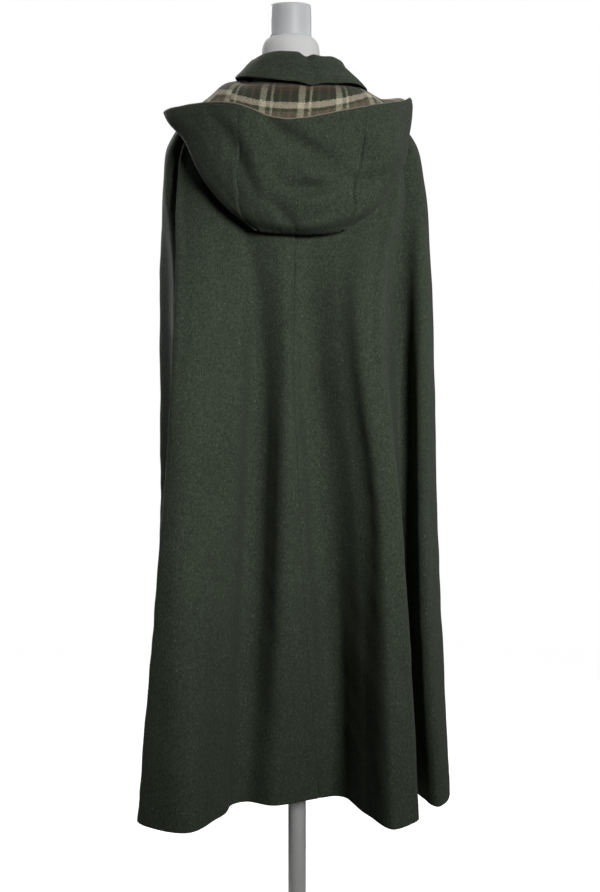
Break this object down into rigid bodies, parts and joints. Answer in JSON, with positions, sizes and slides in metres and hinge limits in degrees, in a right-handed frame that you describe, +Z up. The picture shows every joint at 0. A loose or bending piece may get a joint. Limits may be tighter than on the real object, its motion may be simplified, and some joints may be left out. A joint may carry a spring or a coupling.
{
  "type": "hooded cape on a dress form",
  "caption": "Full-length hooded wool cape with a turned-down collar and a plaid-lined hood hanging open at the back, on a plain limbless dress form.",
  "frame": {"origin": "on the floor, at the centre of the stand's round base, under the pole", "axes": "+Z up; +Y towards the cape's back, where the hood hangs; -Y towards the buttoned front; +X towards the wearer's left"},
  "size_m": [0.5077, 0.4673, 1.578],
  "materials": {
    "loden": "dark green fulled wool with a short nap",
    "plaid": "brushed woven check in green, brown and cream",
    "button": "dark horn-like, satin",
    "form_cover": "white jersey pulled smooth over the form",
    "form_block": "white, satin",
    "stand": "white powder coat"
  },
  "bodies": {
    "root": {"front_right": "loden", "back_right": "loden", "back_left": "loden", "front_left": "loden", "hood_middle": "loden", "hood_left": "loden", "hood_right": "loden", "collar": "loden", "lining_middle": "plaid", "lining_left": "plaid", "lining_right": "plaid", "button_1": "button", "button_2": "button", "button_3": "button", "button_4": "button", "button_5": "button", "form_torso": "form_cover", "form_neck": "form_cover", "form_neck_block": "form_block", "form_pole": "stand", "form_base": "stand"}
  },
  "joints": []
}
